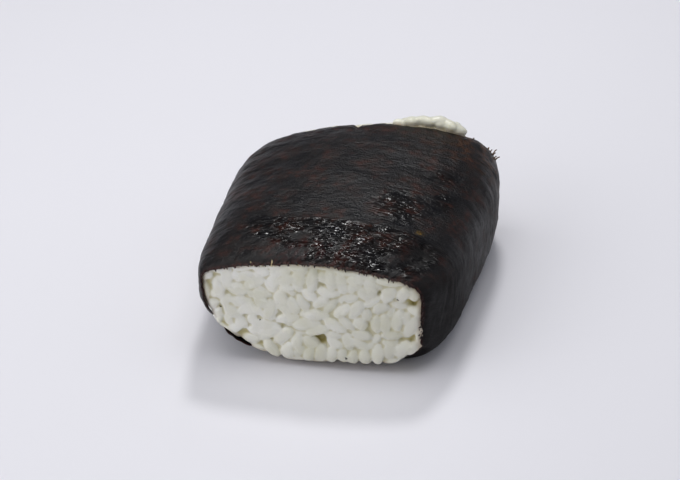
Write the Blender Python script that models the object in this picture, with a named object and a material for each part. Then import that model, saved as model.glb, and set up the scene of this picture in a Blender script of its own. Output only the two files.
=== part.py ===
"""A block of pressed rice in a wrapped strip of nori, lying on its broad side.

X runs across the open front face, Y from the front face to the back, Z up.
"""

import math

import bmesh
import bpy
from mathutils import Vector, noise

MM = 0.001

# The strip of nori
STRIP_WIDTH = 70.0 * MM  # from its front edge to its back edge
STRIP_THICK = 0.5 * MM
STRIP_GAP = 7.2 * MM  # between its two ends, at the lower left

# The rice
SEAT = 0.3 * MM  # clear space between the rice and the nori
FRONT_PROUD = 1.1 * MM  # the rice in front of the nori
BACK_PROUD = 4.0 * MM  # the rice behind it
BACK_EDGE = ((0.25, 0.75), (0.6, 0.9), (0.88, 1.6), (1.0, 3.0))  # share of it, and mm inside the outline
BACK_MIDDLE = 10 * MM  # left of here the bare rice at the back slumps
BACK_REACH = 30 * MM
BACK_SLUMP = 1.6 * MM
LUMP = 0.35 * MM  # how uneven the bare rice is
LUMP_SIZE = 6.0 * MM

# The outline across Y, at stations behind the nori's front edge, in millimetres
STATION = (0, 4, 14, 30, 56, 64, 70)
OUTLINE = {
    "left": (-30.0, -31.0, -31.9, -31.8, -30.8, -29.4, -26.4),
    "right": (30.2, 33.4, 37.6, 41.2, 45.2, 45.6, 44.4),
    "shoulder": (30.2, 30.2, 30.6, 31.0, 30.6, 30.0, 29.0),
    "crown": (4.6, 5.8, 7.2, 6.9, 6.0, 5.6, 5.3),
    "lean": (0, 0, 0, 0.2, 1.5, 1.8, 2.2),
    "left_waist": (26, 23, 18.5, 17, 16, 16, 16),
    "right_waist": (14, 14, 14, 14, 14, 14, 14),
    "toe": (1.0, 0.7, 0.2, 0, 0, 0, 0.2),  # the underside's lift off the floor
    "right_toe": (2.0, 1.5, 0.4, 0, 0, 0, 0.3),  # and what the right side adds
    "strip_start": (14.5, 14.8, 15.2, 15.4, 15.0, 14.6, 14.0),  # height of the strip's upper end
}
# How square each corner is: 2 is an ellipse, more is squarer
SQUARE = {
    "top_right": (10, 8, 6, 5.0, 4.6, 4.6, 4.6),
    "top_left": (8, 7, 5.4, 4.5, 4.0, 3.8, 3.6),
    "low_left": (2.1, 2.3, 2.8, 3.1, 3.2, 3.2, 3.2),
    "low_right": (7, 6, 5.0, 4.2, 4, 4, 4),
}
CROWN_FROM = 14.0  # the crown and the lean grow from this height up
FLATTEN = 0.6  # how far the round underside is pressed flat

ROUND_STEPS = 480
STRIP_COLUMNS = 56
GAP_COLUMNS = 4
CORNER_WEIGHT = 5.0 * MM  # more columns where the outline turns
STRIP_ROWS = (0, 1, 2.5, 4.5, 7, 10, 14, 19, 25, 32, 40, 48, 55, 61, 65, 68, 70)
CAP_RINGS = 9


def clear_scene():
    for old in list(bpy.data.objects):
        bpy.data.objects.remove(old, do_unlink=True)


def material(name, colour, roughness):
    made = bpy.data.materials.new(name)
    made.use_nodes = True
    shader = made.node_tree.nodes["Principled BSDF"]
    shader.inputs["Base Color"].default_value = (*colour, 1.0)
    shader.inputs["Roughness"].default_value = roughness
    return made


def slopes(values):
    """Slopes for a smooth curve through the stations that doesn't overshoot."""
    steps = [STATION[i + 1] - STATION[i] for i in range(len(STATION) - 1)]
    rises = [(values[i + 1] - values[i]) / steps[i] for i in range(len(steps))]
    found = [rises[0]]
    for before, after in zip(rises, rises[1:]):
        same_way = before * after > 0
        found.append(2 * before * after / (before + after) if same_way else 0.0)
    found.append(rises[-1])
    return found


def along(values, y):
    """A driving value at the distance y behind the nori's front edge."""
    y = min(max(y, STATION[0]), STATION[-1])
    i = 0
    while i < len(STATION) - 2 and y > STATION[i + 1]:
        i += 1
    step = STATION[i + 1] - STATION[i]
    t = (y - STATION[i]) / step
    slope = slopes(values)
    start = (2 * t**3 - 3 * t**2 + 1) * values[i] + (t**3 - 2 * t**2 + t) * step * slope[i]
    end = (3 * t**2 - 2 * t**3) * values[i + 1] + (t**3 - t**2) * step * slope[i + 1]
    return start + end


def outline(y):
    """The closed outer outline at y: points from the left waist over the top, and their normals."""
    at = {key: along(values, y / MM) for key, values in {**OUTLINE, **SQUARE}.items()}
    middle = (at["left"] + at["right"]) / 2
    half = (at["right"] - at["left"]) / 2
    points = []
    for step in range(ROUND_STEPS):
        angle = math.pi - 2 * math.pi * step / ROUND_STEPS
        cosine = math.cos(angle)
        sine = math.sin(angle)
        side = "right" if cosine > 0 else "left"
        power = at[("top_" if sine > 0 else "low_") + side]
        reach = (abs(cosine) ** power + abs(sine) ** power) ** (-1 / power)
        waist = at[side + "_waist"]
        rise = at["shoulder"] - waist if sine > 0 else waist + FLATTEN
        x = half * cosine * reach
        z = max(waist + rise * sine * reach, 0.0)
        lift = at["toe"] + at["right_toe"] * max(x / half, 0.0)
        z += lift * max(1 - z / waist, 0) ** 2
        grown = min(max((z - CROWN_FROM) / (at["shoulder"] - CROWN_FROM), 0), 1) ** 2
        z += grown * (at["crown"] * (1 - (x / half) ** 2) + at["lean"] * x / half)
        points.append(Vector(((middle + x) * MM, z * MM)))
    normals = []
    for step in range(ROUND_STEPS):
        run = points[(step + 2) % ROUND_STEPS] - points[step - 2]
        normals.append(Vector((-run.y, run.x)).normalized())
    return points, normals


def columns(y):
    """Points and outward normals round the outline at y: the strip's columns, then the gap's."""
    points, normals = outline(y)
    weights = [0.0]
    lengths = [0.0]
    for step in range(ROUND_STEPS):
        run = (points[(step + 1) % ROUND_STEPS] - points[step]).length
        turn = abs(normals[(step + 1) % ROUND_STEPS].angle(normals[step]))
        weights.append(weights[-1] + run + CORNER_WEIGHT * turn)
        lengths.append(lengths[-1] + run)

    def weight_at(length):
        i = next(i for i in range(ROUND_STEPS) if lengths[i + 1] >= length)
        share = (length - lengths[i]) / (lengths[i + 1] - lengths[i])
        return weights[i] + share * (weights[i + 1] - weights[i])

    # The strip begins below the left waist, so its start is near the far end of the list
    height = along(OUTLINE["strip_start"], y / MM) * MM
    step = ROUND_STEPS - 1
    while points[step].y > height:
        step -= 1
    start = lengths[step]
    end = start - STRIP_GAP
    first = weight_at(start) - weights[-1]
    last = weight_at(end)
    wanted = [first + (last - first) * i / STRIP_COLUMNS for i in range(STRIP_COLUMNS + 1)]
    rest = weights[-1] + first - last
    wanted += [last + rest * i / (GAP_COLUMNS + 1) for i in range(1, GAP_COLUMNS + 1)]
    found = []
    for weight in wanted:
        weight %= weights[-1]
        i = next(i for i in range(ROUND_STEPS) if weights[i + 1] >= weight)
        share = (weight - weights[i]) / (weights[i + 1] - weights[i])
        after = (i + 1) % ROUND_STEPS
        point = points[i].lerp(points[after], share)
        normal = normals[i].lerp(normals[after], share).normalized()
        found.append((point, normal))
    return found


def ring(y, inset, count=None, pull=0.0):
    """Points round the outline at y, moved in by inset, which can depend on the column.

    Then they are pulled towards the middle, which keeps sharp corners from folding over.
    """
    found = []
    for i, (point, normal) in enumerate(columns(y)[:count]):
        moved = point - normal * (inset(i) if callable(inset) else inset)
        found.append(Vector((moved.x, y, moved.y)))
    if pull:
        middle = sum(found, Vector()) / len(found)
        found = [point + (middle - point).normalized() * pull for point in found]
    return found


def skin(mesh, first, second, closed):
    """Quads between two rows of vertices."""
    last = len(first) if closed else len(first) - 1
    for i in range(last):
        j = (i + 1) % len(first)
        mesh.faces.new((first[i], first[j], second[j], second[i]))


def finished(name, mesh, look):
    bmesh.ops.recalc_face_normals(mesh, faces=mesh.faces)
    data = bpy.data.meshes.new(name)
    mesh.to_mesh(data)
    mesh.free()
    made = bpy.data.objects.new(name, data)
    data.materials.append(look)
    bpy.context.scene.collection.objects.link(made)
    return made


def nori_strip(look):
    """The strip: an outer and an inner skin, joined along its four edges."""
    mesh = bmesh.new()
    count = STRIP_COLUMNS + 1
    outer = []
    inner = []
    for row in STRIP_ROWS:
        y = row * MM * STRIP_WIDTH / (STRIP_ROWS[-1] * MM)
        outer.append([mesh.verts.new(point) for point in ring(y, 0.0, count)])
        inner.append([mesh.verts.new(point) for point in ring(y, STRIP_THICK, count)])
    for skins in (outer, inner):
        for first, second in zip(skins, skins[1:]):
            skin(mesh, first, second, closed=False)
    for end in (0, -1):
        skin(mesh, outer[end], inner[end], closed=False)
        skin(mesh, [row[end] for row in outer], [row[end] for row in inner], closed=False)
    return finished("nori", mesh, look)


def lump(point):
    """The unevenness of bare rice at a point, from -1 to 1."""
    return noise.noise(point / LUMP_SIZE, noise_basis="PERLIN_ORIGINAL") * 1.6


def rice_block(look):
    """The block: rings along Y, then an uneven face at each end, closed on a middle point."""
    mesh = bmesh.new()
    under = STRIP_THICK + SEAT

    def inset_at(y):
        """Under the strip the rice keeps clear of it, and in the gap it stands out to the outline."""

        def inset(i):
            in_gap = i > STRIP_COLUMNS + 1 and i < STRIP_COLUMNS + GAP_COLUMNS
            return under - 0.6 * MM if in_gap else under

        return inset

    rows = []
    front = -FRONT_PROUD
    for y, extra in ((front, 1.5 * MM), (front + 0.35 * MM, 0.75 * MM)):
        rows.append(ring(y, inset_at(y), pull=extra))
    for station in STRIP_ROWS:
        rows.append(ring(station * MM * STRIP_WIDTH / (STRIP_ROWS[-1] * MM), inset_at(station)))
    back = STRIP_WIDTH + BACK_PROUD
    for share, extra in BACK_EDGE:
        y = STRIP_WIDTH + share * BACK_PROUD
        row = ring(y, BACK_EDGE[0][1] * MM, pull=(extra - BACK_EDGE[0][1]) * MM)
        for point in row:
            slump = min(max((BACK_MIDDLE - point.x) / BACK_REACH, 0), 1) * share
            point.z -= BACK_SLUMP * slump * max(point.z - CROWN_FROM * MM, 0) / (20 * MM)
            point += Vector((lump(point), 0, lump(point + Vector((0.1, 0, 0))))) * LUMP
        rows.append(row)
    verts = [[mesh.verts.new(point) for point in row] for row in rows]
    for first, second in zip(verts, verts[1:]):
        skin(mesh, first, second, closed=True)

    for row, edge, y, way in ((verts[0], rows[0], front, -1), (verts[-1], rows[-1], back, 1)):
        centre = sum(edge, Vector()) / len(edge)
        outer = row
        for step in range(1, CAP_RINGS):
            share = 1 - step / CAP_RINGS
            inner = []
            for point in edge:
                at = centre.lerp(point, share)
                inside = min(1.0, 3 * (1 - share))
                dome = 0.6 * MM * (1 - share**2) if way > 0 else 0.0
                at.y = y + way * (dome + LUMP * inside * lump(at + Vector((0, 0, 0.05))) - LUMP * inside)
                inner.append(mesh.verts.new(at))
            skin(mesh, outer, inner, closed=True)
            outer = inner
        middle = mesh.verts.new(Vector((centre.x, y + way * 0.2 * MM * (way > 0), centre.z)))
        for i in range(len(outer)):
            mesh.faces.new((outer[i], outer[(i + 1) % len(outer)], middle))
    return finished("rice", mesh, look)


def stand_on_origin(objects):
    """Moves the meshes so that the origin is under the middle of the box round them all."""
    points = [vertex.co for made in objects for vertex in made.data.vertices]
    low = Vector([min(point[axis] for point in points) for axis in range(3)])
    high = Vector([max(point[axis] for point in points) for axis in range(3)])
    shift = Vector((-(low.x + high.x) / 2, -(low.y + high.y) / 2, -low.z))
    for made in objects:
        for vertex in made.data.vertices:
            vertex.co += shift
    return shift


clear_scene()
nori = nori_strip(material("nori", (0.018, 0.016, 0.015), 0.55))
rice = rice_block(material("rice", (0.62, 0.59, 0.52), 0.45))
moved = stand_on_origin((nori, rice))
print("moved by", tuple(round(value / MM, 3) for value in moved), "mm")
for made in (nori, rice):
    print(made.name, "size", tuple(round(side / MM, 2) for side in made.dimensions), "mm")
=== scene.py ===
import math
import time

import bpy
import numpy as np
from mathutils import Matrix, Vector, noise
from mathutils.bvhtree import BVHTree
from mathutils.kdtree import KDTree


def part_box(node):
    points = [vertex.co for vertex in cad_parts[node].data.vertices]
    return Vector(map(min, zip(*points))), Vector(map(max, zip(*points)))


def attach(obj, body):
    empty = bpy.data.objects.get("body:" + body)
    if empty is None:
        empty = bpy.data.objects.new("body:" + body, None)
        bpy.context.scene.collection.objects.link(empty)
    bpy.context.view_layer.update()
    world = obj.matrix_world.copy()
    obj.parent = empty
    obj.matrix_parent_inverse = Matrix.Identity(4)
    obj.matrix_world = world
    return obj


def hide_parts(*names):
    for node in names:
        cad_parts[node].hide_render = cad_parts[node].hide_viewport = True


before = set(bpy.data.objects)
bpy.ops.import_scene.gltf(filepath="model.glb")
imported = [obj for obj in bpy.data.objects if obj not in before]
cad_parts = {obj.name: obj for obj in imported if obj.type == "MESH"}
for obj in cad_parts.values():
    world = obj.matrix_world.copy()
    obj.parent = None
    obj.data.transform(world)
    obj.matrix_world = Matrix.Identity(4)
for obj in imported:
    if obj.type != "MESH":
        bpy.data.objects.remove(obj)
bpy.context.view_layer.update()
mm = 0.001
farOut = 0.09  # rays start this far out, in metres, well clear of the block
began = time.time()


def stage(message):
    print(f"{time.time() - began:6.1f} s  {message}")


def toLinear(hexColour):  # sRGB hex to the linear colour that Blender reads
    channels = [int(hexColour[i:i + 2], 16) / 255 for i in (1, 3, 5)]
    return [c / 12.92 if c <= 0.04045 else ((c + 0.055) / 1.055) ** 2.4 for c in channels] + [1.0]


def addNode(tree, kind, settings=None, links=None):  # one node, its settings, and what feeds its inputs
    node = tree.nodes.new("ShaderNode" + kind)
    for key, value in (settings or {}).items():
        if key == "stops":
            ramp = node.color_ramp
            while len(ramp.elements) < len(value):
                ramp.elements.new(0.5)
            for element, (place, colour) in zip(ramp.elements, value):
                element.position = place
                element.color = toLinear(colour)
        elif isinstance(key, int) or key in node.inputs:
            node.inputs[key].default_value = toLinear(value) if isinstance(value, str) else value
        else:
            setattr(node, key, value)
    for key, source in (links or {}).items():
        tree.links.new(source, node.inputs[key])
    return node


def newMaterial(name):  # a fresh material and its tree, with only the output left in it
    material = bpy.data.materials.new(name)
    material.use_nodes = True
    tree = material.node_tree
    tree.nodes.remove(tree.nodes["Principled BSDF"])
    return material, tree, tree.nodes["Material Output"]


def pickOnly(*objects):
    bpy.ops.object.select_all(action="DESELECT")
    for one in objects:
        one.select_set(True)
    bpy.context.view_layer.objects.active = objects[0]


def bake(obj, kind, **settings):  # adds a modifier and applies it
    pickOnly(obj)
    modifier = obj.modifiers.new(kind.lower(), kind)
    for key, value in settings.items():
        setattr(modifier, key, value)
    bpy.ops.object.modifier_apply(modifier=modifier.name)


def readPoints(obj):
    points = np.empty(len(obj.data.vertices) * 3)
    obj.data.vertices.foreach_get("co", points)
    return points.reshape(-1, 3)


def writePoints(obj, points):
    obj.data.vertices.foreach_set("co", np.ascontiguousarray(points, np.float32).ravel())
    obj.data.update()


def writeValues(obj, name, values):  # one number for each point, which a material can read
    attribute = obj.data.attributes.new(name, "FLOAT", "POINT")
    attribute.data.foreach_set("value", np.ascontiguousarray(values, np.float32))


def ease(values, low, high):  # 0 below low, 1 above high, smooth between
    share = np.clip((np.asarray(values, float) - low) / (high - low), 0, 1)
    return share * share * (3 - 2 * share)


def bumps(a, b, layer):  # smooth noise from -1 to 1 over two lengths that are already divided by its grain
    sideways, upwards = 0.37, 0.43  # off the noise's own grid, on which it is always 0
    found = [noise.noise(Vector((x, y + sideways, layer + upwards))) for x, y in zip(a, b)]
    return np.array(found) * 1.6


# Reading the shapes that the frame gives. The block leans a little to the left at its front
block = {"frontX": -6.8, "leanX": 7.5, "midZ": 17.0}  # the middle of its section, in mm
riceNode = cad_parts["rice"]
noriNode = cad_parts["nori"]
noriLow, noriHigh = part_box("nori")
riceLow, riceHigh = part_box("rice")


def treeOf(obj):
    return BVHTree.FromPolygons([v.co for v in obj.data.vertices], [p.vertices[:] for p in obj.data.polygons])


riceTree = treeOf(riceNode)
noriTree = treeOf(noriNode)


def axisAt(y):  # the middle of the block's section
    share = (y - noriLow.y) / (noriHigh.y - noriLow.y)
    return Vector(((block["frontX"] + block["leanX"] * share) * mm, y, block["midZ"] * mm))


def skinAt(tree, y, angle):  # the outer skin that way from the middle, or None through the gap
    middle = axisAt(y)
    way = Vector((math.cos(angle), 0, math.sin(angle)))
    hit = tree.ray_cast(middle + way * farOut, -way)[0]
    return hit if hit and (hit - middle).dot(way) > 5 * mm else None


# Grains: a cooked short grain is modelled three times, and copied
grain = {"width": 4.1, "thick": 3.1, "segments": 10, "rings": 8,
         "blunt": ((0.15, 0.3, 1.05), (0.3, 0.42, 1.16), (0.42, 0.49, 1.3)),
         "tip": 0.13, "roll": 0.25,  # how unevenly it is laid, in radians
         "longer": 0.5, "widths": (0.88, 1.14), "thicks": (0.94, 1.06), "spots": (-0.33, 0, 0.33)}


def modelGrain(name, bend, taper, plump):  # lies along X, blunt at both ends
    bpy.ops.object.select_all(action="DESELECT")
    bpy.ops.mesh.primitive_uv_sphere_add(segments=grain["segments"], ring_count=grain["rings"], radius=0.5)
    made = bpy.context.object
    made.name = name
    bpy.ops.object.mode_set(mode="EDIT")
    bpy.ops.mesh.select_all(action="SELECT")
    bpy.ops.transform.rotate(value=math.pi / 2, orient_axis="Y", center_override=(0, 0, 0))
    bpy.ops.object.mode_set(mode="OBJECT")
    for low, high, wider in grain["blunt"]:  # its rings from there to there are widened so much
        for vertex in made.data.vertices:
            vertex.select = low < abs(vertex.co.x) < high
        bpy.ops.object.mode_set(mode="EDIT")
        bpy.ops.transform.resize(value=(1, wider * plump, wider * plump), center_override=(0, 0, 0))
        bpy.ops.object.mode_set(mode="OBJECT")
    bake(made, "SIMPLE_DEFORM", deform_method="TAPER", deform_axis="X", factor=taper)
    bake(made, "SIMPLE_DEFORM", deform_method="BEND", deform_axis="Z", angle=math.radians(bend))
    points = readPoints(made)
    points -= (points.max(0) + points.min(0)) / 2
    writePoints(made, points / (points.max(0) - points.min(0)))  # one unit each way, scaled where it's used
    return made


grainKinds = [modelGrain("grainA", 14, 0.18, 1.0), modelGrain("grainB", 26, -0.25, 1.02),
              modelGrain("grainC", 6, 0.05, 0.98)]
stage("grain shapes modelled")


# Flat packing in mm: each grain is a row of four discs, and discs push apart inside a convex outline
packing = {"margin": 0.6,  # no grain's middle starts closer to the outline
           "discsAt": (-1, -0.36, 0.36, 1), "tipSize": 0.84,  # a grain's two end discs are smaller
           "firstSize": 0.55, "growth": 0.6,  # they start small and grow to full size
           "apart": 0.32, "inwards": 0.6, "outOfHoles": 0.5,  # the share of an overlap that one step undoes
           "holeRoom": 1.15, "inertia": 2.3, "mostTurn": 0.2, "righting": 0.1}


def settle(outline, spec, seed):
    rng = np.random.default_rng(seed)
    outline = np.array(outline)
    nextPoint = np.roll(outline, -1, 0)
    edge = nextPoint - outline
    inward = np.c_[-edge[:, 1], edge[:, 0]]
    inward /= np.linalg.norm(inward, axis=1)[:, None]
    area = 0.5 * np.sum(outline[:, 0] * nextPoint[:, 1] - nextPoint[:, 0] * outline[:, 1])
    if area < 0:
        inward = -inward
    low, high = outline.min(0), outline.max(0)
    held = spec.get("held", ())
    places = [np.array(one[:2]) for one in held]
    turns = [math.radians(one[2]) for one in held]
    lengths = [one[3] for one in held]
    radius = spec["radius"]
    total = sum(math.pi * radius ** 2 + 2 * radius * (length - 2 * radius) for length in lengths)
    while total < spec["fill"] * abs(area):
        place = rng.uniform(low, high)
        if ((place - outline) * inward).sum(1).min() < packing["margin"]:
            continue
        length = rng.uniform(*spec["lengths"])
        places.append(place)
        lengths.append(length)
        turns.append(rng.uniform(0, math.pi))
        total += math.pi * radius ** 2 + 2 * radius * (length - 2 * radius)
    places, lengths, turns = np.array(places), np.array(lengths), np.array(turns)
    count = len(places)
    free = np.arange(count) >= len(held)
    upright = free & (places[:, 1] < spec.get("uprightBelow", -99))
    turns[upright] = math.pi / 2 + rng.normal(0, 0.2, upright.sum())
    tipSize, mostTurn = packing["tipSize"], packing["mostTurn"]
    share = np.array(packing["discsAt"])
    sizes = np.tile(np.array([tipSize, 1, 1, tipSize]) * radius, count)
    owner = np.repeat(np.arange(count), len(share))
    half = lengths / 2 - tipSize * radius
    for step in range(spec["steps"]):
        grown = min(1.0, packing["firstSize"] + packing["growth"] * step / spec["steps"])
        ways = np.c_[np.cos(turns), np.sin(turns)]
        arms = (half[:, None] * share)[:, :, None] * ways[:, None, :]
        discs = (places[:, None, :] + arms).reshape(-1, 2)
        gap = discs[:, None, :] - discs[None, :, :]
        away = np.sqrt((gap ** 2).sum(2)) + 1e-9
        overlap = (sizes[:, None] + sizes[None, :]) * grown - away
        overlap[owner[:, None] == owner[None, :]] = 0
        overlap = np.clip(overlap, 0, None)
        push = (gap / away[:, :, None] * overlap[:, :, None]).sum(1) * packing["apart"]
        inside = ((discs[:, None, :] - outline[None]) * inward[None]).sum(2)
        nearest = inside.argmin(1)
        short = np.clip(sizes * grown * spec["wall"] - inside[np.arange(len(discs)), nearest], 0, None)
        push += inward[nearest] * short[:, None] * packing["inwards"]
        for holeX, holeZ, size in spec.get("holes", ()):
            off = discs - (holeX, holeZ)
            far = np.sqrt((off ** 2).sum(1)) + 1e-9
            inHole = np.clip(size + sizes * packing["holeRoom"] - far, 0, None)
            push += off / far[:, None] * inHole[:, None] * packing["outOfHoles"]
        push = push.reshape(count, len(share), 2)
        places = places + push.mean(1) * free[:, None]
        twist = (arms[:, :, 0] * push[:, :, 1] - arms[:, :, 1] * push[:, :, 0]).sum(1)
        turn = twist / (packing["inertia"] * half ** 2 + 1.0)
        turns = turns + np.clip(turn, -mostTurn, mostTurn) * free
        turns[upright] += packing["righting"] * (math.pi / 2 - turns[upright])
    return places, turns, lengths, free


laid = []
grainSpots = []  # three points along each laid grain, with its number, to find the nearest grain later


def layGrain(place, along, out, length, rng):  # one copy: its long side along, its thin side outwards
    kind = grainKinds[rng.integers(len(grainKinds))]
    out = out.normalized()
    along = (along - out * along.dot(out)).normalized()
    side = out.cross(along)
    tip = rng.normal(0, grain["tip"])
    along, out = along * math.cos(tip) + out * math.sin(tip), out * math.cos(tip) - along * math.sin(tip)
    roll = rng.normal(0, grain["roll"])
    side, out = side * math.cos(roll) + out * math.sin(roll), out * math.cos(roll) - side * math.sin(roll)
    length = (length + grain["longer"]) * mm
    width = grain["width"] * rng.uniform(*grain["widths"]) * mm
    thick = grain["thick"] * rng.uniform(*grain["thicks"]) * mm
    turned = Matrix((along * length, side * width, out * thick)).transposed().to_4x4()
    turned.translation = place
    copy = kind.copy()
    copy.data = kind.data.copy()
    copy.data.transform(turned)
    bpy.context.scene.collection.objects.link(copy)
    for reach in grain["spots"]:
        grainSpots.append((place + along * length * reach, len(laid)))
    laid.append(copy)


# The rice block: pressed grains on both open faces and in the gap, over a smaller core
rice = {"radius": 1.66, "lengths": (4.9, 7.8), "fill": 1.04, "steps": 220, "wall": 0.75,
        "frontDepth": 1.15, "underDepth": 2.15, "gapDepth": 1.1, "coreDepth": 2.4, "footRow": 5,
        "voxel": 0.332,
        "seeds": {"front": 3, "frontUnder": 4, "back": 8, "backUnder": 9, "gap": 12, "tone": 5}}
# Single grains that stand out on the front: across, up, turn in degrees, length, and how proud, in mm
leadGrains = [
    (9.3, 29.0, 90, 8.5, 0.3), (5.0, 28.3, 50, 8.0, 0.1), (1.6, 29.3, 100, 8.0, 0.25),
    (-1.2, 30.0, 95, 8.0, 0.1), (-6.2, 29.4, 84, 8.2, 0.35), (-9.9, 28.0, 88, 8.4, 0.1),
    (17.6, 26.5, 68, 6.6, 0.35), (20.9, 27.7, 82, 5.4, 0.3), (20.2, 16.6, 68, 8.0, 0.35),
    (18.7, 9.6, 25, 4.6, 0.2), (6.5, 16.4, 90, 5.2, 0.2), (6.6, 12.0, 0, 6.0, 0.1),
    (13.4, 17.5, 90, 8.0, 0.3), (16.4, 17.6, 84, 8.0, 0.2), (11.2, 6.2, 88, 6.6, 0.55),
    (8.0, 4.9, 95, 5.6, 0.4), (4.7, 4.6, 80, 5.5, 0.55), (1.9, 4.7, 106, 4.8, 0.5),
    (-1.1, 4.9, 85, 5.6, 0.6), (-4.2, 4.8, 80, 5.8, 0.45), (-7.2, 4.5, 75, 5.8, 0.5),
    (14.6, 7.4, 80, 5.6, 0.4), (17.6, 8.2, 60, 4.6, 0.55), (20.6, 9.2, 72, 5.0, 0.45),
    (-7.4, 14.4, 8, 8.6, 0.3), (-5.3, 17.6, 5, 7.2, 0.25), (-10.5, 8.4, 80, 6.0, 0.2),
    (-13.2, 4.8, 82, 6.2, 0.35), (-16.8, 27.0, 80, 7.0, 0.1), (-20.5, 22.5, 100, 8.0, 0.1),
    (-14.9, 21.4, 90, 7.0, 0.15)]
# Gaps between grains: across, up and radius in mm. The deepest ones reach the core
crevices = [
    (-4.4, 9.6, 2.0), (-8.6, 11.0, 1.3), (20.9, 23.6, 1.5), (16.0, 22.6, 0.6), (-0.6, 17.2, 0.7),
    (9.6, 15.4, 0.5), (18.6, 12.6, 0.8), (20.6, 12.2, 0.8), (-3.7, 28.2, 0.5), (2.4, 34.0, 0.6),
    (7.2, 33.4, 0.6), (11.3, 26.4, 0.8), (4.2, 31.0, 0.5), (7.0, 24.6, 0.5), (-17.8, 23.6, 0.6),
    (-11.6, 23.7, 0.5), (-12.3, 12.7, 0.5), (9.7, 8.9, 0.5), (-2.9, 8.0, 0.8)]
deepest = [(-4.0, 9.4, 1.1), (20.9, 23.6, 0.9)]


def sectionOutline(y, count=72):
    found = [skinAt(riceTree, y, math.pi - 2 * math.pi * step / count) for step in range(count)]
    return [(point.x / mm, point.z / mm) for point in found]


frontOutline = sectionOutline(noriLow.y + 2 * mm)
for under in (False, True):
    held = () if under else leadGrains
    spec = dict(rice, held=held, holes=deepest if under else crevices)
    if not under:
        spec["uprightBelow"] = rice["footRow"]  # the lowest grains stand on end
    seed = rice["seeds"]["frontUnder" if under else "front"]
    places, turns, lengths, free = settle(frontOutline, spec, seed)
    rng = np.random.default_rng(seed + 50)
    for number, ((x, z), turn, length) in enumerate(zip(places, turns, lengths)):
        calm = 1 - float(ease(x, -18, -4))  # 1 on the left, where the grains are pressed together
        depth = rice["underDepth"] - 0.5 * calm if under else rice["frontDepth"]
        depth += rng.normal(0, 0.24 - 0.14 * calm) if free[number] else -held[number][4]
        place = Vector((x * mm, riceLow.y + depth * mm, z * mm))
        layGrain(place, Vector((math.cos(turn), 0, math.sin(turn))), Vector((0, -1, 0)), length, rng)
stage(f"front grains laid: {len(laid)}")

backOutline = sectionOutline(noriHigh.y + 1 * mm)
for under in (False, True):
    seed = rice["seeds"]["backUnder" if under else "back"]
    places, turns, lengths, _ = settle(backOutline, rice, seed)
    rng = np.random.default_rng(seed + 50)
    for (x, z), turn, length in zip(places, turns, lengths):
        hit, normal, _, _ = riceTree.ray_cast(Vector((x * mm, farOut, z * mm)), Vector((0, -1, 0)))
        if not hit:
            continue
        depth = (rice["underDepth"] if under else rice["frontDepth"] - 0.2) + rng.normal(0, 0.25)
        place = hit - Vector((0, depth * mm, 0))
        layGrain(place, Vector((math.cos(turn), 0, math.sin(turn))), normal, length, rng)
# Grains on the raised rice behind the strip's back edge: across, back and up in mm, turn and lean in degrees
backGrains = [
    (9, 36.0, 33.6, 20, 4), (12.5, 36.4, 34.5, 12, 4), (16, 36.0, 35.2, -30, 0),
    (19.5, 36.5, 35.2, 20, 0), (22.5, 36.1, 34.4, -35, -8), (25.2, 36.0, 33.0, 10, -16),
    (15, 37.3, 33.4, 0, 0), (20.5, 37.2, 33.2, -12, 0), (10.8, 36.6, 33.9, -35, 3),
    (14.3, 36.6, 34.5, 40, 2), (18, 36.7, 34.8, 60, 0), (21.2, 36.3, 34.5, 35, -4),
    (24, 36.5, 33.4, 50, -10)]
backGrainLength = 5.6
for x, y, z, turn, lean in backGrains:
    turn, lean = math.radians(turn), math.radians(lean)
    along = Vector((math.cos(turn), math.sin(turn), math.sin(lean)))
    layGrain(Vector((x, y, z)) * mm, along, Vector((0, 0.4, 1)), backGrainLength, rng)
looseFrom, looseTo = len(laid) - len(backGrains), len(laid)
stage(f"back grains laid: {len(laid)}")


# The gap between the strip's two ends runs the whole depth, low on the left
def gapAngles(y):  # where the strip's upper end and lower end are, as angles from the middle
    tried = [math.pi * (0.9 + 0.4 * step / 240) for step in range(241)]
    bare = [angle for angle in tried if skinAt(noriTree, y, angle) is None]
    return bare[0], bare[-1]


gapWidth = 8.6
gapMargin = 0.7
gapFront, gapBack = noriLow.y / mm, noriHigh.y / mm
gapOutline = [(0, gapFront), (gapWidth, gapFront), (gapWidth, gapBack), (0, gapBack)]
places, turns, lengths, _ = settle(gapOutline, rice, rice["seeds"]["gap"])
rng = np.random.default_rng(rice["seeds"]["gap"] + 50)
for (reach, y), turn, length in zip(places, turns, lengths):
    upper, lower = gapAngles(y * mm)
    angle = upper + (lower - upper) * (reach - gapMargin) / (gapWidth - 2 * gapMargin)
    way = Vector((math.cos(angle), 0, math.sin(angle)))
    hit, normal, _, _ = riceTree.ray_cast(axisAt(y * mm) + way * farOut, -way)
    along = Vector((0, 1, 0)).cross(normal) * math.cos(turn) + Vector((0, math.sin(turn), 0))
    layGrain(hit - normal * rice["gapDepth"] * mm, along, normal, length, rng)
stage(f"gap grains laid: {len(laid)}")

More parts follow.
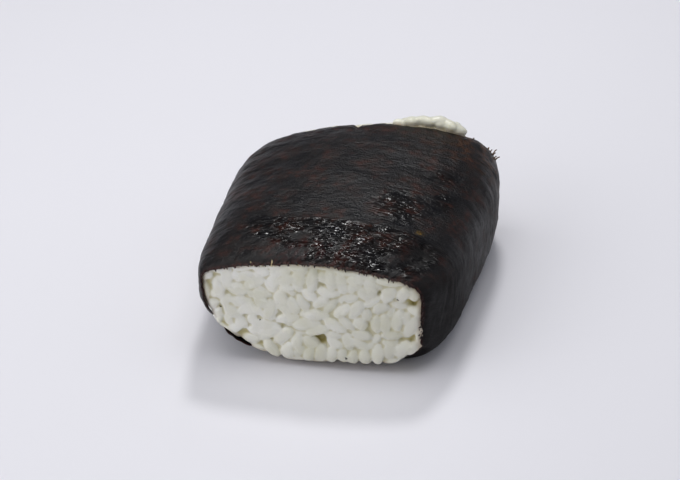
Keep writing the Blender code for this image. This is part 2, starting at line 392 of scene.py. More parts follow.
# The core: the block itself, drawn in at both ends
core = riceNode.copy()
core.data = riceNode.data.copy()
core.name = "riceBlock"
core.parent = None
bpy.context.scene.collection.objects.link(core)
pickOnly(core)
bpy.ops.object.mode_set(mode="EDIT")
bpy.ops.mesh.select_all(action="SELECT")
bpy.ops.mesh.remove_doubles(threshold=1e-6)
shorter = 1 - 2 * rice["coreDepth"] * mm / (riceHigh.y - riceLow.y)
bpy.ops.transform.resize(value=(1, shorter, 1), center_override=(0, (riceLow.y + riceHigh.y) / 2, 0))
bpy.ops.object.mode_set(mode="OBJECT")
corePoints = len(core.data.vertices)
grainPoints = len(grainKinds[0].data.vertices)
pickOnly(core, *laid)
bpy.ops.object.join()
stage("grains joined to the core")

# Pressing: what sticks out of the block's envelope is squeezed back into it, softly. All in mm
press = {"flush": 1.3, "within": 1.2, "soft": 0.14, "softer": 0.16,
         "proud": {"face": 0.2, "foot": 0.4, "right": 0.35}}  # how far the grains may stand out, and where
points = readPoints(core)
flush = (1 - ease(points[:, 0] / mm, -20, -8)) * (1 - ease(points[:, 1] / mm, -34, -30))
flush[corePoints:] = 0  # on the left the core comes nearly flush, as the grains are pressed together
points[:, 1] -= press["flush"] * flush * mm
ends = np.minimum(points[:, 1] - noriLow.y, noriHigh.y - points[:, 1]) / mm  # mm inside the strip's two edges
grainOf = (np.arange(len(points)) - corePoints) // grainPoints
standsClear = (grainOf >= looseFrom) & (grainOf < looseTo)
for number in range(corePoints, len(points)):
    if standsClear[number]:
        continue
    at = Vector(points[number])
    skin, normal, _, _ = riceTree.find_nearest(at)
    outside = float(ease(-ends[number], -0.4, 0.6))  # 1 on the open faces, 0 under the strip
    x, z = at.x / mm, at.z / mm
    facing = float(ease(abs(normal.y), 0.35, 0.9))
    low, right = float(ease(9 - z, 0, 5)), float(ease(x, -14, 4))
    proud = press["proud"]["face"] * float(ease(x, -24, -14))
    proud += facing * (press["proud"]["foot"] * low + press["proud"]["right"] * right)
    proud *= outside * float(ease(35 - z, -1, 4)) if at.y < 0 else outside
    depth = -(at - skin).dot(normal) / mm + proud  # mm inside the envelope
    soft = press["soft"] + press["softer"] * outside * float(ease(x, -20, -4))
    if depth < press["within"]:
        squeezed = soft * math.log(1 + math.exp(min(depth / soft, 30)))
        points[number] = skin - normal * (squeezed - proud) * mm
# The front's lower right corner is rounded off, so the strip's inside shows there
toe = {"from": (11.5, 0.6), "to": (23.5, 9.5), "fade": (-36, -31)}
wayX, wayZ = toe["to"][0] - toe["from"][0], toe["to"][1] - toe["from"][1]
slope = math.hypot(wayX, wayZ)
below = (points[:, 0] / mm - toe["from"][0]) * wayZ - (points[:, 2] / mm - toe["from"][1]) * wayX
below = np.clip(below / slope, 0, None) * (1 - ease(points[:, 1] / mm, *toe["fade"]))
points[:, 0] -= below * wayZ / slope * mm
points[:, 2] += below * wayX / slope * mm
# Behind the strip the rice swells up, most of all right of the middle
swell = {"height": 2.8, "left": (4, 14), "right": (22, 29), "back": (33.6, 35.8), "up": (22, 32)}
raised = ease(points[:, 0] / mm, *swell["left"])
raised *= 1 - ease(points[:, 0] / mm, *swell["right"])
raised *= ease(points[:, 1] / mm, *swell["back"]) * ease(points[:, 2] / mm, *swell["up"])
raised[standsClear] = 0
points[:, 2] += raised * swell["height"] * mm
writePoints(core, points)
stage("pressed")
bake(core, "REMESH", mode="VOXEL", voxel_size=rice["voxel"] * mm, use_smooth_shade=True)
bake(core, "SMOOTH", factor=0.5, iterations=4)
stage(f"fused: {len(core.data.polygons)} faces")

# What the strip hides needs few faces
points = readPoints(core)
ends = np.minimum(points[:, 1] - noriLow.y, noriHigh.y - points[:, 1]) / mm
middle = axisAt(0)
angles = np.arctan2(points[:, 2] - block["midZ"] * mm, points[:, 0] - middle.x) % (2 * math.pi)
upper, lower = gapAngles(0.0)
margin = 0.09  # radians either side of the gap
inGap = (angles > upper - margin) & (angles < lower + margin)
hidden = (ends > 2.6) & ~inGap
hiddenGroup = core.vertex_groups.new(name="hidden")
hiddenGroup.add(np.nonzero(hidden)[0].tolist(), 1.0, "REPLACE")
kept = 1 - hidden.mean() * 0.95
bake(core, "DECIMATE", ratio=kept, vertex_group="hidden", vertex_group_factor=10.0)
core.vertex_groups.clear()
stage(f"thinned under the strip: {len(core.data.polygons)} faces")

# Four values at each point: its depth in the block, its grain's tone with painted shade to the right and low
# down, how near the strip is, and its dip
points = readPoints(core)
nearGrain = KDTree(len(grainSpots))
for place, number in grainSpots:
    nearGrain.insert(place, number)
nearGrain.balance()
grainTone = np.random.default_rng(rice["seeds"]["tone"]).uniform(0, 1, len(laid))
deep, tone, rim = [], [], []
for at in points:
    at = Vector(at)
    skin, normal, _, _ = riceTree.find_nearest(at)
    deep.append(-(at - skin).dot(normal) / mm)
    # painted shade: the rice is drawn darker towards the right and towards the bottom, where less light falls
    paintedShading = 1 - 0.75 * float(ease(at.x / mm, -26, 22)) - 0.3 * float(ease(10 - at.z / mm, 0, 8))
    tone.append(0.35 * grainTone[nearGrain.find(at)[1]] + 0.65 * paintedShading)
    rim.append(noriTree.find_nearest(at)[3] / mm)
# The dip is how far a point lies below the smoothed surface round it
edges = np.empty(len(core.data.edges) * 2, int)
core.data.edges.foreach_get("vertices", edges)
first, second = edges.reshape(-1, 2).T
neighbours = np.bincount(first, minlength=len(points)) + np.bincount(second, minlength=len(points))
smoothed = points.copy()
for _ in range(8):
    for axis in range(3):
        total = np.bincount(first, smoothed[second, axis], len(points))
        total += np.bincount(second, smoothed[first, axis], len(points))
        smoothed[:, axis] = total / np.maximum(neighbours, 1)
normals = np.empty(len(points) * 3, np.float32)
core.data.vertex_normals.foreach_get("vector", normals)
dip = ((smoothed - points) * normals.reshape(-1, 3)).sum(1) / mm
for name, values in (("dip", dip), ("deep", deep), ("tone", tone), ("rim", rim)):
    writeValues(core, name, values)
stage("rice depths and tones read")


# Cooked short-grain rice, steamed and pressed by hand: moist, starchy and a little see-through, so light
# spreads inside it. A stain, or painted shade, grows as its value, in mm, goes from one number to the other:
# how strong at each
stainsAndShade = (("deep", (0.3, 1.35), (0.0, 1.0), "#b3a86f"),  # painted olive shade in the gaps
          ("dip", (0.01, 0.1), (0.0, 0.48), "#c2b987"),  # painted shade in the creases between grains
          ("rim", (0.4, 2.0), (0.55, 0.0), "#b59c7c"))  # tinted by the seaweed beside it, with painted shade under its edge


def cookedRice():
    material, tree, output = newMaterial("cookedRice")
    smooth = {"interpolation_type": "SMOOTHSTEP"}
    place = addNode(tree, "TexCoord").outputs["Object"]
    # the grain tone and the painted shade to the right and low down set how light the rice is drawn
    toneAndShadeMap = addNode(tree, "Attribute", {"attribute_name": "tone"})
    body = addNode(tree, "ValToRGB", {"stops": [(0.0, "#d3d1c5"), (0.5, "#e2e1d6"), (1.0, "#f1f0e9")]},
                   {"Fac": toneAndShadeMap.outputs["Fac"]})
    clouds = addNode(tree, "TexNoise", {"Scale": 1 / (9 * mm), "Detail": 2.0}, {"Vector": place})
    cloudy = addNode(tree, "MapRange", {1: 0.4, 2: 0.7, 3: 0.0, 4: 0.5}, {0: clouds.outputs["Fac"]})
    warm = addNode(tree, "Mix", {"data_type": "RGBA", "blend_type": "MULTIPLY", 7: "#e9e8d2"},
                   {0: cloudy.outputs[0], 6: body.outputs[0]})
    colour = warm.outputs[2]
    # a stain, or painted shade in the gaps, the creases and under the seaweed's edge
    for name, (low, high), (start, end), tint in stainsAndShade:
        value = addNode(tree, "Attribute", {"attribute_name": name})
        amount = addNode(tree, "MapRange", {1: low, 2: high, 3: start, 4: end, **smooth},
                         {0: value.outputs["Fac"]})
        stainedAndShaded = addNode(tree, "Mix", {"data_type": "RGBA", 7: tint}, {0: amount.outputs[0], 6: colour})
        colour = stainedAndShaded.outputs[2]
    fine = addNode(tree, "TexNoise", {"Scale": 1 / (1.3 * mm), "Detail": 4.0, "Roughness": 0.6},
                   {"Vector": place})
    relief = addNode(tree, "Bump", {"Strength": 0.5, "Distance": 0.22 * mm}, {"Height": fine.outputs["Fac"]})
    wet = addNode(tree, "MapRange", {1: 0.35, 2: 0.65, 3: 0.16, 4: 0.38}, {0: clouds.outputs["Fac"]})
    shader = addNode(tree, "BsdfPrincipled",
                     {"IOR": 1.4, "Subsurface Weight": 0.6, "Subsurface Radius": (1.0, 0.95, 0.8),
                      "Subsurface Scale": 1.0 * mm},
                     {"Base Color": colour, "Roughness": wet.outputs[0], "Normal": relief.outputs[0]})
    tree.links.new(shader.outputs[0], output.inputs[0])
    return material


core.data.materials.clear()
core.data.materials.append(cookedRice())
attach(core, "root")
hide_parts("rice")
for kind in grainKinds:
    bpy.data.objects.remove(kind)

# The strip: one sheet of seaweed laid round the block, from low on the left over the top and back underneath
sheet = {"columns": 64, "rows": 43, "thick": 0.28, "underShare": 0.3, "frontFine": 16.0, "frontShare": 2.2,
         "clear": 0.02}  # the underside keeps this far off the floor, in mm


def stripOutline(y, steps=720):  # the strip's outer skin at y, from its upper end round to its lower end
    upper, lower = gapAngles(y)
    inside = 0.004  # radians in from both ends
    start, stop = upper - inside, lower + inside - 2 * math.pi
    found = [skinAt(noriTree, y, start + (stop - start) * step / steps) for step in range(steps + 1)]
    return np.array([point for point in found if point is not None])


def spread(count, length, density):  # count + 1 places along a length, closer where density is high
    fine = np.linspace(0, length, 801)  # fine enough for either length
    weight = np.concatenate([[0], np.cumsum(density((fine[1:] + fine[:-1]) / 2))])
    return np.interp(np.linspace(0, weight[-1], count + 1), weight, fine)


depthRange = (noriHigh.y - noriLow.y) / mm
frontFine, frontShare = sheet["frontFine"], sheet["frontShare"]
acrossAt = spread(sheet["rows"], depthRange, lambda across: np.where(across < frontFine, frontShare, 1.0))
outlines, lengthsAlong = [], []
for across in acrossAt:
    outline = stripOutline(noriLow.y + min(max(across, 0.05), depthRange - 0.05) * mm)
    steps = np.linalg.norm(np.diff(outline, axis=0), axis=1)
    outlines.append(outline)
    lengthsAlong.append(np.concatenate([[0], np.cumsum(steps)]))
stripLength = float(np.mean([along[-1] for along in lengthsAlong])) / mm
middleRow = outlines[len(outlines) // 2]
firstLow = np.nonzero(middleRow[:, 2] < 1.0 * mm)[0][0] / len(middleRow)  # where it goes under, from 0 to 1
underFrom, underShare = firstLow + 0.02, sheet["underShare"]
alongAt = spread(sheet["columns"], 1.0, lambda along: np.where(along > underFrom, underShare, 1.0))

bpy.ops.object.select_all(action="DESELECT")
bpy.ops.mesh.primitive_grid_add(x_subdivisions=sheet["columns"], y_subdivisions=sheet["rows"], size=2)
strip = bpy.context.object
strip.name = "noriStrip"
points = readPoints(strip)
columnOf = np.rint((points[:, 0] + 1) / 2 * sheet["columns"]).astype(int)
rowOf = np.rint((points[:, 1] + 1) / 2 * sheet["rows"]).astype(int)
table = np.zeros((sheet["rows"] + 1, sheet["columns"] + 1, 3))
for row, (outline, along) in enumerate(zip(outlines, lengthsAlong)):
    for axis in range(3):
        table[row, :, axis] = np.interp(alongAt * along[-1], along, outline[:, axis])
    table[row, :, 1] = noriLow.y + acrossAt[row] * mm
writePoints(strip, table[rowOf, columnOf])
loopVertex = np.empty(len(strip.data.loops), int)
strip.data.loops.foreach_get("vertex_index", loopVertex)
flat = np.c_[alongAt[columnOf] * stripLength, acrossAt[rowOf]] / 100  # the sheet laid flat, in decimetres
strip.data.uv_layers.active.data.foreach_set("uv", flat[loopVertex].astype(np.float32).ravel())
bake(strip, "SUBSURF", levels=2, render_levels=2, boundary_smooth="PRESERVE_CORNERS", uv_smooth="NONE")
stage(f"strip laid on the block: {len(strip.data.polygons)} faces, {stripLength:.1f} mm long")

strip.data.update()
points = readPoints(strip)
normals = np.empty(len(points) * 3, np.float32)
strip.data.vertex_normals.foreach_get("vector", normals)
normals = normals.reshape(-1, 3).astype(float)
middles = np.array([axisAt(y) for y in points[:, 1]])
if ((points - middles) * normals).sum(1).mean() < 0:
    pickOnly(strip)
    bpy.ops.object.mode_set(mode="EDIT")
    bpy.ops.mesh.select_all(action="SELECT")
    bpy.ops.mesh.flip_normals()
    bpy.ops.object.mode_set(mode="OBJECT")
    normals = -normals
loopVertex = np.empty(len(strip.data.loops), int)
strip.data.loops.foreach_get("vertex_index", loopVertex)
flat = np.empty(len(loopVertex) * 2, np.float32)
strip.data.uv_layers.active.data.foreach_get("uv", flat)
onSheet = np.zeros((len(points), 2))
onSheet[loopVertex] = flat.reshape(-1, 2) * 100
s, t = onSheet[:, 0], onSheet[:, 1]  # mm along the strip from its upper end, and mm from its front edge

# Relief, in mm: the rice beneath, folds that run round the block, dents, and crinkles behind the front edge
relief = {"grains": 0.13, "folds": 0.05, "sideFolds": 0.1, "dents": 0.34, "pulp": 0.07, "corner": 1.3,
          "crinkles": 0.36, "curl": 0.45, "ragged": 0.3, "forward": 1.2, "over": 0.5}
# The ripples in it: how long each is along and across the strip, in mm, and its own layer of the noise
rippleSizes = {"grains": (5.2, 3.6, 1.0), "folds": (13, 2.6, 2.0), "foldStrength": (17, 13, 21.0),
               "dents": (19, 15, 4.0), "slant": (14, 9, 22.0), "sideFolds": (18, 2.1, 3.0),
               "sideWrinkles": (10, 1.1, 23.0), "pulp": (2.6, 1.2, 25.0), "finePulp": (1.5, 0.9, 26.0),
               "bend": (12, 9, 5.0), "ridges": (6.5, 1.3, 6.0), "finer": (2.9, 0.8, 7.0),
               "puddles": (7, 4, 8.0), "teeth": (2.3, 1, 10.0), "fineTeeth": (1.1, 1, 24.0),
               "frontWave": (6, 1, 9.0), "backTeeth": (1.6, 1, 12.0), "backWave": (5, 1, 11.0)}
# The wet band: how far back it starts, how fast that falls to the right, and where it fades in and out
wetBand = {"front": (0.6, 10.5), "fallFrom": 28, "fall": 0.42,
           "back": (13.5, 17), "left": (25, 33), "right": (77, 85)}
# Round patches: middle along and across the strip, and reach either way
cornerDent = (77, 9, 3.5, 5)
cornerShade = (77, 10, 4.5, 6)
paleFleck = (72.5, 17.5, 0.9, 0.8)
wetSpots = [(64, 27, 6.5, 6.0), (71, 45, 3.0, 3.0), (33, 14, 6.0, 2.5), (52, 7, 4.0, 2.5), (74, 34, 2.5, 3.5)]


def spot(alongTo, acrossTo, reachAlong, reachAcross):  # 1 in the middle of a round patch, 0 outside it
    return np.exp(-((s - alongTo) / reachAlong) ** 2 - ((t - acrossTo) / reachAcross) ** 2)


def ripple(name, across=t, lean=0.0):  # from -1 to 1 at each point of the strip
    alongSize, acrossSize, layer = rippleSizes[name]
    return bumps(s / alongSize, across / acrossSize + lean, layer)


underside = ease(s, firstLow * stripLength - 3, firstLow * stripLength + 2)
side = ease(s, 78, 88) * (1 - underside)
lift = relief["grains"] * ripple("grains")
lift += relief["folds"] * ripple("folds", lean=0.06 * s) * (0.6 + 0.8 * ripple("foldStrength"))
lift += relief["dents"] * ripple("dents")
slant = t + 0.22 * s + 1.2 * ripple("slant")  # on the right side the folds run down and back
lift += side * relief["sideFolds"] * (ripple("sideFolds", slant) + 0.7 * ripple("sideWrinkles", slant))
lift += relief["pulp"] * (ripple("pulp") + 0.7 * ripple("finePulp"))
lift -= relief["corner"] * spot(*cornerDent)
# The crinkles reach the edge only on the right
crinkledFrom = np.clip(wetBand["front"][1] - (s - wetBand["fallFrom"]) * wetBand["fall"], *wetBand["front"])
band = ease(t - crinkledFrom, -1.5, 1.5) * (1 - ease(t, *wetBand["back"]))
band = band * ease(s, *wetBand["left"]) * (1 - ease(s, *wetBand["right"]))
bend = 0.9 * ripple("bend")
ridges = 1 - 2 * np.abs(ripple("ridges", lean=bend))
finer = 1 - 2 * np.abs(ripple("finer", lean=bend))
wet = band * ease(ripple("puddles"), -0.8, 0.0)
creased = wet
for patch in wetSpots:  # flatter than the band
    wet = np.maximum(wet, spot(*patch))
    creased = np.maximum(creased, 0.45 * spot(*patch))
lift += creased * relief["crinkles"] * (0.7 * ridges + 0.45 * finer)
lift *= 1 - 0.85 * underside

# The edges curl in. The front one is ragged and turns down over the rice, and the back one has a small tear
edge = {"under": 3.4, "back": 0.7, "middle": 0.9, "corner": 1.9, "tear": 1.6,  # moved so far, in mm
        "underFrom": (107, 113), "middleFrom": (42, 50), "middleTo": (66, 74),  # where, along the strip
        "cornerFrom": (71, 78), "cornerTo": (94, 102), "tearAt": 41, "tearWidth": 0.8}
alongOnly = s * 0  # across the strip, the edges' ripples don't change
edgeAway = np.minimum(np.minimum(t, depthRange - t), np.minimum(s, stripLength - s))
teeth = 1 - 2 * np.abs(ripple("teeth", alongOnly)) + 0.9 * ripple("fineTeeth", alongOnly)
lift -= relief["curl"] * (1 - ease(edgeAway, 0, 2.2))
lift -= (relief["over"] + 0.3 * relief["ragged"] * teeth) * (1 - ease(t, 0, 1.3)) * (1 - underside)
points = points + normals * lift[:, None] * mm
frontPull = (0.5 * ripple("frontWave", alongOnly) + 0.45 * teeth) * relief["ragged"] - relief["forward"]
# Underneath, the rice overhangs it
frontPull += edge["under"] * ease(s, *edge["underFrom"]) * (1 - ease(s, stripLength - 13, stripLength - 7))
backTeeth = 1 - 2 * np.abs(ripple("backTeeth", alongOnly))
backPull = (0.7 * ripple("backWave", alongOnly) + 0.5 * backTeeth) * relief["ragged"]
backPull += (edge["back"] + edge["middle"] * ease(s, *edge["middleFrom"]) * (1 - ease(s, *edge["middleTo"]))
             + edge["corner"] * ease(s, *edge["cornerFrom"]) * (1 - ease(s, *edge["cornerTo"])))
backPull -= edge["tear"] * np.exp(-((s - edge["tearAt"]) / edge["tearWidth"]) ** 2)
points[:, 1] += (frontPull * (1 - ease(t, 0, 4)) + backPull * (1 - ease(depthRange - t, 0, 5))) * mm
writePoints(strip, points)
sheetPoints, sheetNormals = points.copy(), normals.copy()

# What the seaweed's looks depend on
# painted shade: the right side, most near the front, and a patch at the front right corner are drawn near
# black and rougher
rightSide = 0.9 * ease(s, 80, 90) * (1 - 0.6 * ease(t, 10, 40))
looks = {"edge": edgeAway, "wet": wet, "matt": np.maximum(spot(*cornerShade), rightSide),
         "red": (1 - ease(t, 4, 9)) * ease(s, 34, 42) * (1 - ease(s, 58, 66)),
         "dry": ease(depthRange - t, 22, 4) * ease(s, 58, 74) * (1 - ease(s, 94, 104)),
         "fleck": spot(*paleFleck)}
for name, values in looks.items():
    writeValues(strip, name, values)
bake(strip, "SOLIDIFY", thickness=sheet["thick"] * mm, offset=-1.0)
points = readPoints(strip)
points[:, 2] = np.maximum(points[:, 2], sheet["clear"] * mm)
writePoints(strip, points)
bpy.ops.object.shade_smooth()
stage(f"strip creased: {len(strip.data.polygons)} faces")


# Roasted nori: seaweed pulp dried in a thin sheet and toasted, then damp from the rice. To the eye it is near
# black with red-brown thin spots, with a dull sheen where dry and sharp glints where a film of water lies
seaweed = {  # each pattern: its size in mm, detail and roughness
    "patterns": {"blotch": (7.0, 6.0, 0.62), "pulp": (2.6, 6.0, 0.65), "grit": (0.55, 3.0, 0.6)},
    "sheet": [(0.34, "#08070a"), (0.5, "#100d0d"), (0.66, "#1b120f")],
    "dull": (0.3, 0.46), "wetter": -0.33, "matter": 0.42}  # roughness, and what water and dullness add to it
# Tints and painted shade laid over the sheet: where, in which pattern, from and to, how strong there, and the
# colour
tints = (("thin", "pulp", (0.45, 0.63), (0.0, 0.62), "#3c1b11"),
         # painted shade: near black over the right side and the front right corner
         ("matt", "pulp", (0.0, 1.0), (1.0, 1.0), "#060405"),
         ("dry", "pulp", (0.46, 0.6), (0.0, 0.6), "#46290f"),
         ("red", "pulp", (0.45, 0.62), (0.0, 0.6), "#300d0a"),
         ("fleck", "grit", (0.4, 0.6), (0.0, 1.0), "#7d6020"),
         ("torn", "pulp", (0.4, 0.6), (0.3, 0.9), "#36150d"))


def toastedNori():
    material, tree, output = newMaterial("toastedNori")
    smooth = {"interpolation_type": "SMOOTHSTEP"}
    laidFlat = addNode(tree, "UVMap").outputs[0]
    place = addNode(tree, "Mapping", {"Scale": (100, 100, 1)}, {"Vector": laidFlat}).outputs[0]  # in mm
    drawn = addNode(tree, "Mapping", {"Scale": (30, 100, 1)}, {"Vector": laidFlat}).outputs[0]  # drawn out
    where = {name: addNode(tree, "Attribute", {"attribute_name": name}).outputs["Fac"] for name in looks}
    patterns = {}
    for name, (size, detail, roughness) in seaweed["patterns"].items():
        made = addNode(tree, "TexNoise", {"Scale": 1 / size, "Detail": detail, "Roughness": roughness},
                       {"Vector": place})
        patterns[name] = made.outputs["Fac"]
    thin = addNode(tree, "MapRange", {1: 0.45, 2: 0.62, **smooth}, {0: patterns["blotch"]})
    torn = addNode(tree, "MapRange", {1: 0.0, 2: 0.9, 3: 1.0, 4: 0.0, **smooth}, {0: where["edge"]})
    where.update(thin=thin.outputs[0], torn=torn.outputs[0])
    colour = addNode(tree, "ValToRGB", {"stops": seaweed["sheet"]}, {"Fac": patterns["blotch"]}).outputs[0]
    for name, pattern, (low, high), (least, most), tint in tints:
        strength = addNode(tree, "MapRange", {1: low, 2: high, 3: least, 4: most, **smooth},
                           {0: patterns[pattern]})
        amount = addNode(tree, "Math", {"operation": "MULTIPLY"}, {0: where[name], 1: strength.outputs[0]})
        tinted = addNode(tree, "Mix", {"data_type": "RGBA", 7: tint}, {0: amount.outputs[0], 6: colour})
        colour = tinted.outputs[2]

    least, most = seaweed["dull"]
    dull = addNode(tree, "MapRange", {1: 0.3, 2: 0.7, 3: least, 4: most, **smooth}, {0: patterns["blotch"]})
    wetter = addNode(tree, "Math", {"operation": "MULTIPLY_ADD", 1: seaweed["wetter"]},
                     {0: where["wet"], 2: dull.outputs[0]})
    rough = addNode(tree, "Math", {"operation": "MULTIPLY_ADD", 1: seaweed["matter"]},
                    {0: where["matt"], 2: wetter.outputs[0]})

    # The film of water fills the finest relief and shows the creases
    finest = addNode(tree, "MapRange", {1: 0.0, 2: 0.6, 3: 0.8, 4: 0.02, **smooth}, {0: where["wet"]})
    creasing = addNode(tree, "MapRange", {1: 0.0, 2: 0.6, 3: 0.16, 4: 1.0, **smooth}, {0: where["wet"]})
    creases = addNode(tree, "TexNoise", {"Scale": 1 / 1.9, "Detail": 2.0, "Distortion": 0.4},
                      {"Vector": drawn})
    folded = addNode(tree, "Math", {"operation": "PINGPONG", 1: 0.16}, {0: creases.outputs["Fac"]})
    small = addNode(tree, "Bump", {"Distance": 0.25 * mm},
                    {"Strength": finest.outputs[0], "Height": patterns["grit"]})
    larger = addNode(tree, "Bump", {"Distance": 0.45 * mm},
                     {"Strength": finest.outputs[0], "Height": patterns["pulp"], "Normal": small.outputs[0]})
    crinkled = addNode(tree, "Bump", {"Distance": 2.6 * mm},
                       {"Strength": creasing.outputs[0], "Height": folded.outputs[0],
                        "Normal": larger.outputs[0]})
    shader = addNode(tree, "BsdfPrincipled", {"IOR": 1.33, "Specular IOR Level": 0.5},
                     {"Base Color": colour, "Roughness": rough.outputs[0], "Normal": crinkled.outputs[0]})
    tree.links.new(shader.outputs[0], output.inputs[0])
    return material


strip.data.materials.append(toastedNori())
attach(strip, "root")
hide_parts("nori")

# Torn bits: one thin flake is modelled, then copied to each place with its own size and turn
flake = {"thick": 0.14, "shredThick": 0.12, "threadThick": 0.1, "columns": 4, "rows": 2, "shreds": 240,
         "seed": 21}


def modelFlake():  # one unit long and wide, lying flat, narrow at the tip end
    bpy.ops.object.select_all(action="DESELECT")
    bpy.ops.mesh.primitive_grid_add(x_subdivisions=flake["columns"], y_subdivisions=flake["rows"], size=1)
    made = bpy.context.object
    points = readPoints(made)
    reach = points[:, 0] + 0.5  # 0 at the root, 1 at the tip
    uneven = bumps(points[:, 0] * 3.1, points[:, 1] * 2.3, 31.0)
    points[:, 1] *= (1 - 0.8 * reach ** 1.5) * (1 + 0.6 * uneven)
    points[:, 1] += 0.25 * bumps(points[:, 0] * 2.2, points[:, 0] * 0, 32.0)
    points[:, 2] = 0.12 * bumps(points[:, 0] * 2.0, points[:, 1] * 2.0, 33.0)
    points[:, 0] = reach
    writePoints(made, points)
    return made


def layFlakes(name, places, material):  # a place is a point, way, facing, length, width and thickness
    plain = modelFlake()
    copies = []
    for place, way, facing, length, width, thick in places:
        way = way.normalized()
        facing = (facing - way * facing.dot(way)).normalized()
        wayOut, sideways, upwards = way * length * mm, facing.cross(way) * width * mm, facing * length * mm
        turned = Matrix((wayOut, sideways, upwards)).transposed().to_4x4()
        turned.translation = place
        copy = plain.copy()
        copy.data = plain.data.copy()
        copy.data.transform(turned)
        bpy.context.scene.collection.objects.link(copy)
        bake(copy, "SOLIDIFY", thickness=thick * mm, offset=0.0)
        copies.append(copy)
    bpy.data.objects.remove(plain)
    pickOnly(*copies)
    bpy.ops.object.join()
    made = bpy.context.object
    made.name = name
    made.data.materials.clear()
    made.data.materials.append(material)
    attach(made, "root")


def onStrip(along, across):  # the strip's surface there, and the way it faces
    nearest = ((s - along) ** 2 + (t - across) ** 2).argmin()
    return Vector(sheetPoints[nearest]), Vector(sheetNormals[nearest])


# Dry torn seaweed or dry starch: matt, and thin enough that a lighter brown shows through in places
def driedFlake(name, dark, light, grainSize):
    material, tree, output = newMaterial(name)
    place = addNode(tree, "TexCoord").outputs["Object"]
    mottle = addNode(tree, "TexNoise", {"Scale": 1 / (grainSize * mm), "Detail": 3.0}, {"Vector": place})
    mottled = mottle.outputs["Fac"]
    colour = addNode(tree, "ValToRGB", {"stops": [(0.38, dark), (0.62, light)]}, {"Fac": mottled})
    relief = addNode(tree, "Bump", {"Strength": 0.5, "Distance": 0.08 * mm}, {"Height": mottled})
    shader = addNode(tree, "BsdfPrincipled", {"IOR": 1.4, "Roughness": 0.6},
                     {"Base Color": colour.outputs[0], "Normal": relief.outputs[0]})
    tree.links.new(shader.outputs[0], output.inputs[0])
    return material


# Frayed bits at the far right corner: along the strip, in from its back edge, length, width, and their rise
frays = ((82.8, 0.3, 1.2, 1.5, 1.2), (83.6, 0.6, 2.2, 1.3, 2.2), (84.4, 0.2, 1.4, 1.5, 1.6),
         (85.0, 0.8, 1.9, 1.2, 2.6), (85.8, 0.4, 1.2, 1.4, 1.4), (81.6, 0.2, 1.0, 1.2, 0.6),
         (84.0, 1.4, 1.3, 1.4, 2.6), (76.0, 0.1, 0.8, 1.0, 0.2), (90.0, 0.2, 0.8, 0.9, 0.8))
rng = np.random.default_rng(flake["seed"])
frayPlaces = []
for along, inward, length, width, rise in frays:
    place, facing = onStrip(along, depthRange - inward)
    way = Vector((rng.normal(0, 0.2), 0.5, rng.normal(0, 0.2))) + facing * rise
    root = place - way.normalized() * 0.4 * mm
    frayPlaces.append((root, way, Vector((0, 0.5, 1)), length, width, flake["thick"]))
layFlakes("noriFray", frayPlaces, driedFlake("driedSeaweed", "#2a1a0e", "#6b451c", 0.5))

# The strip's front edge is torn into fine dark shreds
shredPlaces = []
for _ in range(flake["shreds"]):
    along = rng.uniform(2, 106)
    place, facing = onStrip(along, rng.uniform(0.1, 0.5))
    tangent = Vector((0, 1, 0)).cross(facing)
    way = tangent * rng.normal(0, 0.6) + Vector((0, -1, 0)) - facing * rng.uniform(0.1, 0.5)
    length, width = rng.uniform(0.5, 1.15) ** 1.3, rng.uniform(0.35, 0.9)
    shredPlaces.append((place, way, facing, length, width, flake["shredThick"]))
layFlakes("noriShreds", shredPlaces, driedFlake("tornSeaweed", "#0c0706", "#34140c", 0.7))

# Dried starch threads on the rice at that edge: along the strip, length and width
threads = ((34.6, 1.5, 0.5), (35.6, 0.9, 0.4), (40.6, 1.9, 0.6), (41.6, 1.0, 0.4), (38.2, 0.8, 0.5),
           (48.6, 0.9, 0.4))
threadPlaces = []
for along, length, width in threads:
    place, facing = onStrip(along, 0.0)
    way = Vector((rng.normal(0, 0.35), 0.75, 0.2)) + facing * 0.45
    root = place + facing * 0.12 * mm + Vector((0, -0.1, -0.55)) * mm
    threadPlaces.append((root, way, facing, length, width, flake["threadThick"]))
layFlakes("starchThreads", threadPlaces, driedFlake("dryStarch", "#a28c62", "#cbbd98", 0.4))

# Dark crumbs on the front of the rice: across, up and length
crumbs = ((-31.2, 17.6, 0.7), (3.0, 4.3, 0.6), (16.3, 25.2, 0.6), (-20.4, 14.4, 0.4))
riceSkin = treeOf(core)
crumbPlaces = []
for x, z, length in crumbs:
    hit, facing, _, _ = riceSkin.ray_cast(Vector((x * mm, -farOut, z * mm)), Vector((0, 1, 0)))
    if hit:
        way = Vector((rng.normal(), 0, rng.normal()))
        crumbPlaces.append((hit + facing * 0.05 * mm, way, facing, length, length * 0.8, flake["thick"]))
layFlakes("noriCrumbs", crumbPlaces, driedFlake("seaweedCrumb", "#15100e", "#33221a", 0.3))
stage("torn bits laid")

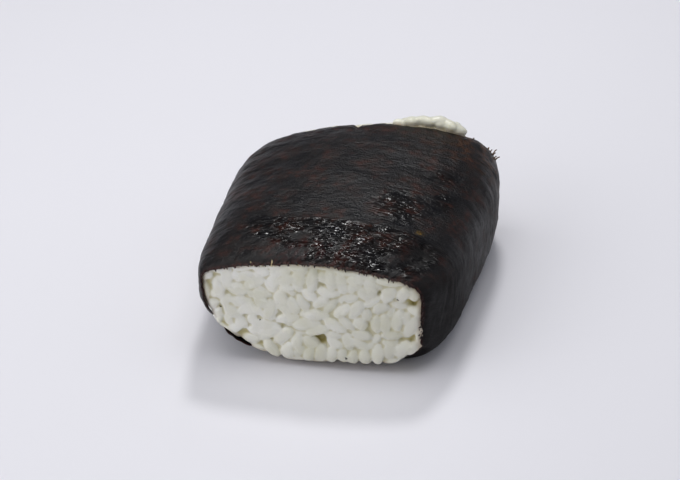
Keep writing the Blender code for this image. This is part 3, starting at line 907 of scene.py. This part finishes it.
# Camera, floor and soft studio light
view = {"lens": 105.0, "sensor": 36.0, "place": (59.58, -453.3, 336.7), "azimuth": 8.0, "elevation": 35.0}
bpy.ops.object.camera_add(location=[v * mm for v in view["place"]],
                          rotation=(math.radians(90 - view["elevation"]), 0, math.radians(view["azimuth"])))
camera = bpy.context.object
camera.data.lens = view["lens"]
camera.data.sensor_width = view["sensor"]
bpy.context.scene.camera = camera
bpy.context.scene.view_settings.view_transform = "Standard"

# Each lamp: place and size in metres, power in watts, and its colour
studio = {"sky": "#dfe4f2", "skyStrength": 0.1, "aim": (0, 0, 0.02), "floorSize": 6,
          "lamps": {"key": ((0.0, -0.05, 0.65), 0.5, 1.35, "#ffffff"),
                    "back": ((0.0, 0.62, 0.52), 0.05, 0.14, "#f6f8ff"),
                    "spark": ((-0.02, 0.3, 0.55), 0.11, 1.3, "#ffffff"),
                    "left": ((-0.45, -0.12, 0.5), 0.7, 1.4, "#fafbff"),
                    "right": ((0.55, 0.15, 0.6), 1.0, 1.1, "#f4f6ff"),
                    "fill": ((-0.45, -0.4, 0.3), 0.5, 0.85, "#ffffff"),
                    "front": ((0.15, -0.9, 0.5), 0.9, 1.1, "#ffffff")}}
world = bpy.data.worlds.new("studio")
bpy.context.scene.world = world
world.use_nodes = True
world.node_tree.nodes["Background"].inputs[0].default_value = toLinear(studio["sky"])
world.node_tree.nodes["Background"].inputs[1].default_value = studio["skyStrength"]
for name, (place, size, power, colour) in studio["lamps"].items():
    aim = (Vector(studio["aim"]) - Vector(place)).to_track_quat("-Z", "Y").to_euler()
    bpy.ops.object.light_add(type="AREA", location=place, rotation=aim)
    lamp = bpy.context.object
    lamp.name = name
    lamp.data.shape = "DISK"
    lamp.data.size = size
    lamp.data.energy = power
    lamp.data.color = toLinear(colour)[:3]

bpy.ops.object.select_all(action="DESELECT")
bpy.ops.mesh.primitive_plane_add(size=studio["floorSize"])
floor = bpy.context.object
floor.name = "floor"


def floorPaper():  # matt white paper, a little cool
    material, tree, output = newMaterial("floorPaper")
    shader = addNode(tree, "BsdfPrincipled", {"Base Color": "#e2e1e6", "Roughness": 0.8})
    tree.links.new(shader.outputs[0], output.inputs[0])
    return material


floor.data.materials.append(floorPaper())
stage("camera, floor and lights set")
